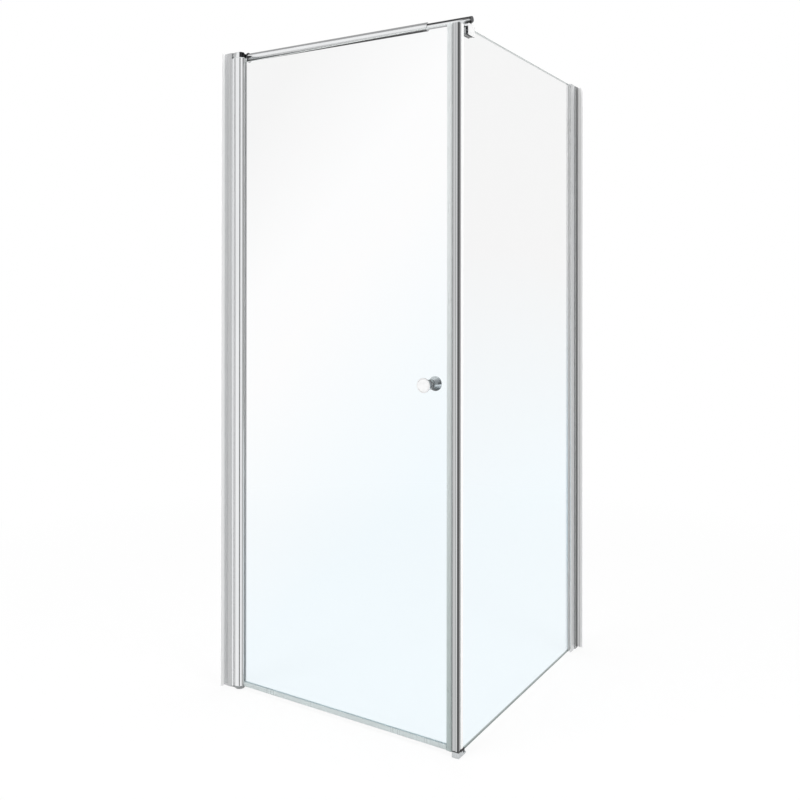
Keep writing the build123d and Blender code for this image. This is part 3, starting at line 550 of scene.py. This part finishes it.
def make_finishes(finish):
    """All materials of the enclosure by name."""
    drawn_lines_group()
    moulded_grain_group()
    water_marks_group()
    chrome, gloss, edge = tuple(finish.chrome), finish.chrome_gloss, tuple(finish.glass_edge)
    chrome_material("Bright profile", chrome, gloss, **UPRIGHT)
    # Metal of the rosette: chrome painted dark, a painted dark reflection
    chrome_material("Painted dark reflection metal", (0.09, 0.09, 0.095), 0.15, **CAST)
    chrome_material("Screw steel", tuple(finish.steel), 0.28, (1, 1, 0.1), variation=0.15)
    channel_material("Wall channel", chrome, 0.2)
    post_material("Corner post", chrome, gloss)
    sleeve_material("Bright bar", chrome, 0.15)
    rod_material("Bright rod", chrome, 0.12)
    clamp_material("Clamp metal", chrome, 0.16)
    bracket_material("Bracket metal", chrome, gloss)
    knob_material("Knob metal", chrome, gloss)
    # The door's tones are its tint with a painted reflection, and a diagonal band of painted highlight
    cool, bright, plain = tuple(finish.glass_cool), tuple(finish.glass_painted_highlight), tuple(finish.glass_plain)
    climb = TINT_AND_REFLECTION_SLOPE * HINGE_EDGE
    at_hinge = ((0.1, cool), (0.85, bright), (1.1, bright), (1.6, plain))
    door = [(height + climb, hue) for height, hue in at_hinge]
    glass_material("Door glass", edge, Y, (TINT_AND_REFLECTION_SLOPE, 0, 1), door)
    glass_material("Side glass", edge, X, (0, 0, 1), ((0.55, cool), (1.25, plain)), SIDE_BANDS)
    seal_material("Clear seal", tuple(finish.seal), tuple(finish.seal_low))
    seal_material("Clear lip", tuple(finish.seal), (0.76, 0.82, 0.82))
    seal_material("Pocket gasket", (0.84, 0.86, 0.86), (0.80, 0.82, 0.82))
    panel_gasket_material("Panel gasket", (0.97, 0.98, 0.98))
    plastic_material("Grey plastic", tuple(finish.grey_plastic))
    plastic_material("Foot plastic", (0.32, 0.33, 0.335))
    plastic_material("White plastic", tuple(finish.white_plastic))
    plastic_material("Dark plastic", tuple(finish.dark_plastic), rough=0.38)
    plastic_material("Magnet strip", tuple(finish.magnet), rough=0.5)
    plastic_material("Dark rubber", tuple(finish.rubber), rough=0.6)


def dress(material, *names):
    """Gives carried-over CAD nodes their finish."""
    for name in names:
        node = NODES[name]
        node.data.materials.clear()
        node.data.materials.append(bpy.data.materials[material])


# Meshes

def rounded(points, size, steps=4, closed=True):
    """Rounds the corners of a flat outline."""
    result = []
    for index, point in enumerate(points):
        here = Vector(point)
        if not closed and index in (0, len(points) - 1):
            result.append(tuple(here))
            continue
        back = Vector(points[index - 1]) - here
        on = Vector(points[(index + 1) % len(points)]) - here
        angle = back.angle(on)
        if angle > pi - 0.02:
            result.append(tuple(here))
            continue
        reach = min(size / tan(angle / 2), 0.49 * back.length, 0.49 * on.length)
        radius = reach * tan(angle / 2)
        start, end = here + back.normalized() * reach, here + on.normalized() * reach
        centre = here + (back.normalized() + on.normalized()).normalized() * (radius / sin(angle / 2))
        arm, last = start - centre, end - centre
        sweep = arm.angle_signed(last) if arm.length > 0 else 0
        for step in range(steps + 1):
            turn = -sweep * step / steps
            spot = Vector((arm.x * cos(turn) - arm.y * sin(turn), arm.x * sin(turn) + arm.y * cos(turn)))
            result.append(tuple(centre + spot))
    return result


def mirrored(points):
    """Outline from its upper half, mirrored in the first axis."""
    return points + [(a, -b) for a, b in reversed(points)]


def hexagon(radius, angle):
    """Distance from the middle to a hexagon's side, for a hexagon with this corner radius."""
    return radius * cos(pi / 6) / cos((angle + pi / 6) % (pi / 3) - pi / 6)


def lathe(bm, stops, place, segments, socket_from=None):
    """Turns a profile of (along, radius) in millimetres; stops from socket_from on are hexagonal."""
    rings = []
    for index, (along, radius) in enumerate(stops):
        ring = []
        for step in range(segments):
            angle = 2 * pi * step / segments
            flat = socket_from is not None and index >= socket_from
            reach = hexagon(radius, angle) if flat else radius
            spot = MM * Vector((reach * cos(angle), reach * sin(angle), along))
            ring.append(bm.verts.new(place @ spot))
        rings.append(ring)
    for low, high in zip(rings, rings[1:]):
        for index in range(segments):
            after = (index + 1) % segments
            bm.faces.new((low[index], low[after], high[after], high[index]))
    ends = [vert for ring, (_, radius) in zip(rings, stops) if radius == 0 for vert in ring]
    bmesh.ops.remove_doubles(bm, verts=ends, dist=1e-6)


def prism(bm, outline, low, high, place=Matrix(), edge=0.3, steps=3):
    """Extrudes a flat outline in millimetres from low to high, with both rims rounded."""
    rings = [[bm.verts.new(place @ (MM * Vector((a, b, level)))) for a, b in outline]
             for level in (low, high)]
    caps = [bm.faces.new(ring) for ring in rings]
    for index in range(len(outline)):
        after = (index + 1) % len(outline)
        bm.faces.new((rings[0][index], rings[0][after], rings[1][after], rings[1][index]))
    bmesh.ops.bevel(bm, geom=[e for cap in caps for e in cap.edges], offset=edge * MM, segments=steps,
                    profile=0.5, affect="EDGES", clamp_overlap=True)


def frame_at(origin, along):
    """Place with its Z axis along a direction, from an origin in millimetres."""
    z = Vector(along).normalized()
    x = Vector((0, 0, 1)).cross(z)
    if x.length < 0.01:
        x = Vector((1, 0, 0))
    x.normalize()
    turn = Matrix((x, z.cross(x), z)).transposed().to_4x4()
    return Matrix.Translation(MM * Vector(origin)) @ turn


BAR = frame_at(BAR_START, BAR_END - BAR_START)
ALONG_X = Matrix(((0, 0, 1, 0), (1, 0, 0, 0), (0, 1, 0, 0), (0, 0, 0, 1)))


def make_piece(name, bm, material, body, slot, *nodes):
    """Turns a bmesh into a piece that rides on a body and stands for CAD nodes."""
    bmesh.ops.dissolve_degenerate(bm, dist=0.001 * MM, edges=bm.edges)
    bmesh.ops.recalc_face_normals(bm, faces=bm.faces)
    mesh = bpy.data.meshes.new(name)
    bm.to_mesh(mesh)
    bm.free()
    mesh.shade_smooth()
    mesh.set_sharp_from_angle(angle=SHARP_ANGLE)
    mesh.materials.append(bpy.data.materials[material])
    piece = bpy.data.objects.new(name, mesh)
    bpy.context.collection.objects.link(piece)
    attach(piece, body)
    if nodes:
        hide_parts(*nodes)


def soften(name, node, edge, material, body, slot):
    """Copy of a CAD node with its hard edges rounded by this many millimetres."""
    bm = bmesh.new()
    bm.from_mesh(NODES[node].data)
    bmesh.ops.remove_doubles(bm, verts=bm.verts, dist=0.002 * MM)
    bmesh.ops.dissolve_limit(bm, angle_limit=radians(1), verts=bm.verts, edges=bm.edges)
    sharp = [e for e in bm.edges if e.is_manifold and e.calc_face_angle(0) > SOFTENED_ANGLE]
    bmesh.ops.bevel(bm, geom=sharp, offset=edge * MM, segments=2, profile=0.5, affect="EDGES",
                    clamp_overlap=True)
    make_piece(name, bm, material, body, slot, node)


def turned(name, stops, places, finish, rounding=0.0, segments=96, socket_from=None):
    """Piece turned from one profile at each place; finish is its material, body, slot and CAD node, and the
    slot is not used.
    """
    bm = bmesh.new()
    profile = rounded(stops, rounding, closed=False) if rounding else stops
    for place in places:
        lathe(bm, profile, place, segments, socket_from)
    make_piece(name, bm, *finish)


def extruded_seal(name, outline, low, high, finish, rounding=0.12, steps=2, place=Matrix()):
    """Seal extruded from an outline; finish is its material, body, slot and CAD node, and the slot is not
    used.
    """
    bm = bmesh.new()
    prism(bm, rounded(outline, rounding, steps), low, high, place, edge=0.15, steps=2)
    make_piece(name, bm, *finish)


# Operators

class EnclosureOperator:
    """Shared settings of the operators."""
    bl_options = {"REGISTER", "UNDO"}


class ENCLOSURE_OT_finishes(EnclosureOperator, Operator):
    """Makes the chrome, glass, seal and plastic materials"""
    bl_idname = "enclosure.finishes"
    bl_label = "Finishes"

    def execute(self, context):
        make_finishes(context.scene.enclosure_finish)
        return {"FINISHED"}


class ENCLOSURE_OT_profiles(EnclosureOperator, Operator):
    """Dresses the wall channels, sliding profiles, hinge column and corner post"""
    bl_idname = "enclosure.profiles"
    bl_label = "Profiles"

    def execute(self, context):
        dress("Wall channel", "left_wall_channel", "rear_wall_channel", "rear_jamb_profile")
        dress("Bright profile", "left_jamb_profile", "door_hinge_column")
        dress("Corner post", "corner_post")
        return {"FINISHED"}


class ENCLOSURE_OT_hinge(EnclosureOperator, Operator):
    """Makes the hinge bracket, its screws and the tapered hinge foot"""
    bl_idname = "enclosure.hinge"
    bl_label = "Hinge bracket and foot"

    def execute(self, context):
        soften("hinge_bracket_cast", "top_bearing_block", 0.35, "Bracket metal", "frame", "chrome")
        turned("bracket_socket_screws",
               [(1818.0, 0.0), (1818.6, 1.4), (1819.2, 1.8), (1847.7, 1.8), (1847.7, 3.0), (1848.0, 3.2),
                (1849.2, 3.2), (1849.7, 2.7), (1849.7, 1.7), (1848.5, 1.6), (1848.5, 0.0)],
               [frame_at((x, 0.0, 0.0), (0, 0, 1)) for x in BRACKET_SCREWS_X],
               ("Screw steel", "frame", "steel", "top_bearing_screws"), segments=36, socket_from=8)
        bm = bmesh.new()
        cone = [(0.0, 0.0), (0.0, 13.0), (8.8, 18.6), (8.8, 4.05), (3.0, 4.05), (3.0, 0.0)]
        lathe(bm, rounded(cone, 0.6, closed=False), frame_at((HINGE_X, 0.0, 0.0), (0, 0, 1)), 96)
        tongue = [(-759.5, -9.7), (-724.0, -9.7), (-724.0, 9.7), (-759.5, 9.7)]
        prism(bm, rounded(tongue, 1.2), 0.0, 3.0, edge=0.4)
        make_piece("hinge_foot_moulded", bm, "Foot plastic", "frame", "grey_plastic", "bottom_bearing_foot")
        dress("Screw steel", "top_pivot_pin", "bottom_pivot_pin", "bottom_bearing_screws")
        dress("Grey plastic", "column_top_plug", "column_bottom_plug")
        dress("White plastic", "top_pivot_bush", "bottom_pivot_bush")
        return {"FINISHED"}


class ENCLOSURE_OT_corner(EnclosureOperator, Operator):
    """Makes the corner foot, the dark strip of painted shadow under the post and the caps of the profiles
    """
    bl_idname = "enclosure.corner"
    bl_label = "Corner foot and caps"

    def execute(self, context):
        plastic = ("Grey plastic", "frame", "grey_plastic")
        rubber = ("Dark rubber", "frame", "dark_rubber")
        soften("corner_foot_moulded", "corner_foot", 0.7, *plastic)
        soften("setting_block_rubber", "glass_setting_block", 0.4, *rubber)
        soften("post_cap_moulded", "corner_post_cap", 0.25, *plastic)
        soften("rear_cap_moulded", "rear_jamb_cap", 0.3, *plastic)
        # A dark rubber strip round the post's foot and a block at its side stand for the shadow gap there:
        # painted shadow
        bm = bmesh.new()
        prism(bm, rounded([(-10.3, -12.3), (10.4, -12.3), (10.4, 12.2), (-10.3, 12.2)], 2.2, 6), 14.4, 16.2)
        prism(bm, rounded([(9.0, -1.0), (10.5, -1.0), (10.5, 12.4), (9.0, 12.4)], 0.5), 12.0, 19.0)
        make_piece("post_foot_painted_shadow", bm, *rubber)
        cap = [(14.8, 0.0), (14.8, 3.8), (12.3, 3.8), (12.3, 4.6), (15.0, 4.6), (15.6, 3.4), (15.6, 0.0)]
        for name, node, x, y, way in (("left_caps_domed", "left_screw_caps", -755.0, 0.0, (0, 1, 0)),
                                      ("rear_caps_domed", "rear_screw_caps", 0.0, 793.0, (-1, 0, 0))):
            turned(name, cap, [frame_at((x, y, height), way) for height in CAP_HEIGHTS], (*plastic, node),
                   rounding=0.3, segments=48)
        dress("Screw steel", "left_adjust_screws", "rear_adjust_screws", "corner_foot_screw")
        return {"FINISHED"}


class ENCLOSURE_OT_bar(EnclosureOperator, Operator):
    """Makes the bar's rosette, end collar, lock screw and end cap, and dresses its tubes"""
    bl_idname = "enclosure.bar"
    bl_label = "Stabiliser bar"

    def execute(self, context):
        # The rosette's dark metal is a painted dark reflection
        turned("bar_rosette_turned",
               [(5.0, 3.0), (5.0, 14.0), (6.1, 14.0), (6.3, 13.7), (6.7, 13.7), (6.9, 14.0), (8.0, 13.0),
                (8.3, 11.8), (8.0, 11.6), (8.0, 10.0), (24.0, 10.0), (24.0, 3.0), (5.0, 3.0)],
               [BAR], ("Painted dark reflection metal", "frame", "chrome", "bar_rosette"), rounding=0.35)
        far, end = SLEEVE_END, ROD_END
        turned("sleeve_collar_turned",
               [(far - 14.0, 8.1), (far - 14.0, 10.0), (far, 10.0), (far, 11.2), (far + 0.35, 11.5),
                (far + 3.0, 11.5), (far + 5.0, 9.5), (far + 5.0, 8.1), (far - 14.0, 8.1)],
               [BAR], ("Bright bar", "frame", "chrome", "sleeve_end_collar"), rounding=0.3)
        on_axis = BAR @ (MM * Vector((0, 0, far - 7.0))) / MM
        turned("bar_lock_screw_socket",
               [(8.4, 0.0), (8.4, 1.7), (8.7, 2.0), (11.3, 2.0), (11.5, 1.8), (11.5, 1.25), (10.5, 1.2),
                (10.5, 0.0)],
               [frame_at(on_axis, (0, 0, -1))], ("Screw steel", "frame", "steel", "bar_lock_screw"),
               segments=24, socket_from=5)
        turned("rod_cap_ringed",
               [(end - 10.0, 0.0), (end - 10.0, 6.5), (end, 6.5), (end, 8.0), (end + 2.0, 8.0),
                (end + 2.0, 6.2), (end + 1.5, 5.9), (end + 1.4, 0.0)],
               [BAR], ("Dark plastic", "telescopic_rod", "dark_plastic", "rod_end_cap"), rounding=0.45,
               segments=64)
        dress("Bright bar", "bar_sleeve")
        dress("Bright rod", "bar_rod")
        dress("Screw steel", "rosette_screw")
        dress("Grey plastic", "rod_guide_plug")
        return {"FINISHED"}


class ENCLOSURE_OT_clamp(EnclosureOperator, Operator):
    """Makes the glass clamp, its grub screws and the rod's clip"""
    bl_idname = "enclosure.clamp"
    bl_label = "Glass clamp"

    def execute(self, context):
        soften("clamp_cast", "clamp_body", 0.35, "Clamp metal", "frame", "chrome")
        soften("rod_clip_cast", "rod_clip", 0.2, "Bright rod", "frame", "chrome")
        turned("clamp_grub_screws",
               [(-7.0, 0.0), (-7.0, 2.1), (-7.4, 2.5), (-12.1, 2.5), (-12.5, 2.2), (-12.5, 1.5),
                (-11.0, 1.45), (-11.0, 0.0)],
               [frame_at((0.0, y, CLAMP_SCREW_HEIGHT), (1, 0, 0)) for y in CLAMP_SCREWS_Y],
               ("Screw steel", "frame", "steel", "clamp_screws"), segments=24, socket_from=5)
        dress("Screw steel", "clamp_pressure_plate")
        dress("Clear seal", "clamp_pads")
        return {"FINISHED"}


class ENCLOSURE_OT_panes(EnclosureOperator, Operator):
    """Dresses the two glass panes"""
    bl_idname = "enclosure.panes"
    bl_label = "Glass"

    def execute(self, context):
        dress("Door glass", "door_glass")
        dress("Side glass", "side_glass")
        return {"FINISHED"}


class ENCLOSURE_OT_seals(EnclosureOperator, Operator):
    """Extrudes the ribbed door seals, the post's magnet strip and the glass gaskets"""
    bl_idname = "enclosure.seals"
    bl_label = "Seals"

    def execute(self, context):
        half = [(-19.95, 3.06), (-29.0, 3.06), (-29.0, 3.9), (-28.5, 4.35), (-27.9, 4.35), (-27.3, 4.0),
                (-25.9, 4.0), (-25.7, 4.25), (-25.1, 4.25), (-24.9, 4.0), (-23.3, 4.0), (-23.1, 4.25),
                (-22.5, 4.25), (-22.3, 4.0), (-20.9, 4.0), (-20.3, 5.0), (-15.1, 5.0), (-14.5, 4.4),
                (-14.5, 1.1), (-14.8, 0.7)]
        extruded_seal("closing_seal_ribbed", mirrored(half), 8.0, 1820.0,
                      ("Clear seal", "door", "clear_seal", "door_closing_seal"))
        half = [(-8.6, 1.5), (-10.0, 1.5), (-10.0, 5.0), (-11.2, 5.0), (-11.4, 4.75), (-12.0, 4.75),
                (-12.2, 5.0), (-13.5, 5.0), (-14.0, 4.5), (-14.0, 1.2), (-13.8, 0.8)]
        extruded_seal("post_strip_ribbed", mirrored(half), 15.0, 1816.0,
                      ("Clear seal", "frame", "clear_seal", "post_magnet_strip"))
        outline = [(-4.2, 21.0), (-4.5, 22.0), (-3.06, 22.0), (-3.06, 12.95), (3.06, 12.95), (3.06, 22.0),
                   (4.5, 22.0), (4.2, 21.0), (4.2, 18.2), (4.45, 18.0), (4.45, 17.4), (4.2, 17.2),
                   (4.2, 10.4), (7.4, 7.4), (7.1, 7.0), (4.2, 7.4), (1.2, 10.0), (-1.6, 10.0),
                   (-2.2, 8.2), (-2.7, 8.2), (-3.0, 10.0), (-4.2, 10.0), (-4.2, 13.2), (-4.45, 13.4),
                   (-4.45, 14.0), (-4.2, 14.2), (-4.2, 17.2), (-4.45, 17.4), (-4.45, 18.0), (-4.2, 18.2)]
        extruded_seal("drip_seal_ribbed", outline, -698.2, -30.0,
                      ("Clear lip", "door", "clear_seal", "door_bottom_seal"), place=ALONG_X)
        half = [(-707.55, 3.06), (-699.1, 3.06), (-698.9, 3.8), (-699.3, 4.6), (-700.0, 4.9), (-700.6, 4.5),
                (-709.0, 4.5)]
        extruded_seal("door_gasket_lipped", mirrored(half), 13.0, 1831.0,
                      ("Pocket gasket", "door", "clear_seal", "door_glass_gasket"), rounding=0.2, steps=3)
        outline = [(4.5, 770.0), (4.5, 746.5), (5.1, 745.8), (4.9, 742.0), (3.4, 740.4), (3.06, 741.0),
                   (3.06, 768.55), (-3.06, 768.55), (-3.06, 747.0), (-3.5, 746.5), (-4.5, 747.5),
                   (-4.5, 770.0)]
        extruded_seal("rear_gasket_lipped", outline, 5.0, 1820.0,
                      ("Panel gasket", "frame", "clear_seal", "side_glass_rear_gasket"), rounding=0.15)
        dress("Clear lip", "knob_washers", "side_glass_front_gasket")
        dress("Magnet strip", "door_magnet", "post_magnet")
        dress("Screw steel", "knob_stud")
        return {"FINISHED"}


class ENCLOSURE_OT_knobs(EnclosureOperator, Operator):
    """Turns the two knobs"""
    bl_idname = "enclosure.knobs"
    bl_label = "Knobs"

    def execute(self, context):
        # Groove on the neck, hollow cone, ringed rim and dished face, outward from the glass
        profile = [(4.0, 0.0), (4.0, 12.5), (6.2, 12.5), (6.5, 12.1), (6.9, 12.1), (7.2, 12.5), (8.2, 12.6),
                   (18.0, 14.9), (26.5, 17.6), (29.4, 18.9), (29.8, 19.0), (31.4, 19.0), (32.0, 18.4),
                   (32.0, 16.6), (31.3, 15.8), (31.1, 9.0), (31.05, 0.0)]
        for name, way, node in (("knob_turned_outside", -1, "outer_knob"),
                                ("knob_turned_inside", 1, "inner_knob")):
            turned(name, profile, [frame_at(KNOB, (0, way, 0))], ("Knob metal", "door", "chrome", node),
                   rounding=0.5)
        return {"FINISHED"}


# Studio

def shown_share(tree):
    """1 for rays that come from the camera, from gloss or through glass."""
    path = add(tree, "ShaderNodeLightPath").outputs
    seen = plus(tree, path["Is Camera Ray"], path["Is Glossy Ray"])
    return plus(tree, seen, path["Is Transmission Ray"], clamp=True)


def glow(tree, tone):
    """Plain light of a tone."""
    return add(tree, "ShaderNodeEmission", {"Color": rgba(grey(tone)), "Strength": 1.0}).outputs[0]


def floor_material(name, stage):
    """Pale floor that shows white and keeps a share of its shading near the enclosure."""
    tree = empty_tree(name)
    matt = add(tree, "ShaderNodeBsdfDiffuse", {"Color": rgba(stage.floor)}).outputs[0]
    away = add(tree, "ShaderNodeVectorMath", {0: own_place(tree), 1: FLOOR_CENTRE},
               operation="DISTANCE").outputs["Value"]
    kept = times(tree, ramp(tree, away, *SHADOW_REACH), stage.shadow)
    white = times(tree, shown_share(tree), minus(tree, 1.0, kept))
    show(tree, mix_shaders(tree, white, matt, glow(tree, 1.0)))


def flag_material(name, tone):
    """Plain card that only shows in reflections."""
    tree = empty_tree(name)
    mirrored_ray = math(tree, "GREATER_THAN", add(tree, "ShaderNodeLightPath").outputs["Glossy Depth"], 0.5)
    clear = add(tree, "ShaderNodeBsdfTransparent", {"Color": rgba(WHITE)}).outputs[0]
    show(tree, mix_shaders(tree, mirrored_ray, clear, glow(tree, tone)))


def stage_piece(name, corners, faces, material):
    """Piece of the studio from its corners and faces."""
    mesh = bpy.data.meshes.new(name)
    mesh.from_pydata(corners, [], faces)
    mesh.materials.append(bpy.data.materials[material])
    piece = bpy.data.objects.new(name, mesh)
    bpy.context.collection.objects.link(piece)
    return piece


def flag(name, rows, tone):
    """Curved studio flag between two rows of points that shows in gloss only, without light or shadow."""
    flag_material(name, tone)
    count = len(rows[0])
    faces = [(i, i + 1, count + i + 1, count + i) for i in range(count - 1)]
    card = stage_piece(name, [*rows[0], *rows[1]], faces, name)
    for kind in ("camera", "diffuse", "volume_scatter", "shadow"):
        setattr(card, "visible_" + kind, False)


def drum_place(angle, height, radius=DRUM_RADIUS):
    """Place on a drum around the enclosure, with the angle counted from +X in degrees."""
    x, y = DRUM_CENTRE
    return (x + radius * cos(radians(angle)), y + radius * sin(radians(angle)), height)


def make_drum():
    """Cards around the enclosure, and two that close the drum below and above."""
    for number, (start, end, tone) in enumerate(DRUM):
        angles = [start + (end - start) * step / CARD_STEPS for step in range(CARD_STEPS + 1)]
        flag(f"flag_side_{number}", [[drum_place(angle, height) for angle in angles]
                                     for height in (DRUM_LOW, DRUM_HIGH)], tone)
    for name, height, tone in DRUM_ENDS:
        flag(name, [[drum_place(angle, height, radius) for angle in range(0, 361, 10)]
                    for radius in DRUM_END_RADII], tone)


def soft_lamp(name, place, size, power):
    """Square soft box aimed at the enclosure."""
    data = bpy.data.lights.new(name, "AREA")
    data.shape = "SQUARE"
    data.size = size
    data.energy = power
    lamp = bpy.data.objects.new(name, data)
    bpy.context.collection.objects.link(lamp)
    lamp.location = place
    lamp.visible_glossy = False
    lamp.visible_transmission = False
    lamp.rotation_euler = (Vector(LAMP_TARGET) - Vector(place)).to_track_quat("-Z", "Y").to_euler()


def make_sky(scene, sky):
    """White surroundings where they are seen, with the sky setting's strength where they give light."""
    world = bpy.data.worlds.new("Studio")
    scene.world = world
    world.use_nodes = True
    tree = world.node_tree
    tree.nodes.clear()
    strength = plus(tree, sky, times(tree, shown_share(tree), 1.0 - sky))
    light = add(tree, "ShaderNodeBackground", {"Color": rgba(WHITE), "Strength": strength}).outputs[0]
    show(tree, light, "ShaderNodeOutputWorld")


def make_camera(scene, lens):
    """Camera of the photograph's view."""
    data = bpy.data.cameras.new("photo_view")
    data.lens = lens
    data.sensor_width = 36.0
    data.shift_y = CAMERA_SHIFT
    data.clip_end = 100
    camera = bpy.data.objects.new("photo_view", data)
    scene.collection.objects.link(camera)
    turn = Matrix.Rotation(radians(CAMERA_TURN), 4, "Z") @ Matrix.Rotation(radians(90), 4, "X")
    turn = turn @ Matrix.Rotation(radians(CAMERA_ROLL), 4, "Z")
    camera.matrix_world = Matrix.Translation(CAMERA_PLACE) @ turn
    scene.camera = camera


class ENCLOSURE_OT_stage(EnclosureOperator, Operator):
    """Makes the floor, the reflection cards, the soft light and the camera"""
    bl_idname = "enclosure.stage"
    bl_label = "Studio"

    def execute(self, context):
        scene, stage = context.scene, context.scene.enclosure_stage
        floor_material("Studio floor", stage)
        corners = [(a * FLOOR_REACH, b * FLOOR_REACH, FLOOR_HEIGHT)
                   for a, b in ((-1, -1), (1, -1), (1, 1), (-1, 1))]
        stage_piece("studio_floor", corners, [(0, 1, 2, 3)], "Studio floor").visible_glossy = False
        make_drum()
        make_sky(scene, stage.sky)
        for lamp in LAMPS:
            soft_lamp(*lamp)
        make_camera(scene, stage.lens)
        scene.view_settings.view_transform = "Standard"
        return {"FINISHED"}


class ENCLOSURE_PT_panel(Panel):
    """Lists the steps and settings of the enclosure"""
    bl_idname = "ENCLOSURE_PT_panel"
    bl_label = "Corner Shower Enclosure"
    bl_space_type = "VIEW_3D"
    bl_region_type = "UI"
    bl_category = "Enclosure"

    def draw(self, context):
        layout = self.layout
        for group in (context.scene.enclosure_finish, context.scene.enclosure_stage):
            for name in group.__annotations__:
                layout.prop(group, name)
        for step in STEPS:
            layout.operator(step.bl_idname)


STEPS = (ENCLOSURE_OT_finishes, ENCLOSURE_OT_profiles, ENCLOSURE_OT_hinge, ENCLOSURE_OT_corner,
         ENCLOSURE_OT_bar, ENCLOSURE_OT_clamp, ENCLOSURE_OT_panes, ENCLOSURE_OT_seals, ENCLOSURE_OT_knobs,
         ENCLOSURE_OT_stage)
CLASSES = (EnclosureFinish, EnclosureStage, *STEPS, ENCLOSURE_PT_panel)


def register():
    for cls in CLASSES:
        bpy.utils.register_class(cls)
    bpy.types.Scene.enclosure_finish = PointerProperty(type=EnclosureFinish)
    bpy.types.Scene.enclosure_stage = PointerProperty(type=EnclosureStage)


def unregister():
    del bpy.types.Scene.enclosure_stage
    del bpy.types.Scene.enclosure_finish
    for cls in reversed(CLASSES):
        bpy.utils.unregister_class(cls)


def main():
    register()
    for step in STEPS:
        group, name = step.bl_idname.split(".")
        getattr(getattr(bpy.ops, group), name)()


if __name__ == "__main__":
    main()
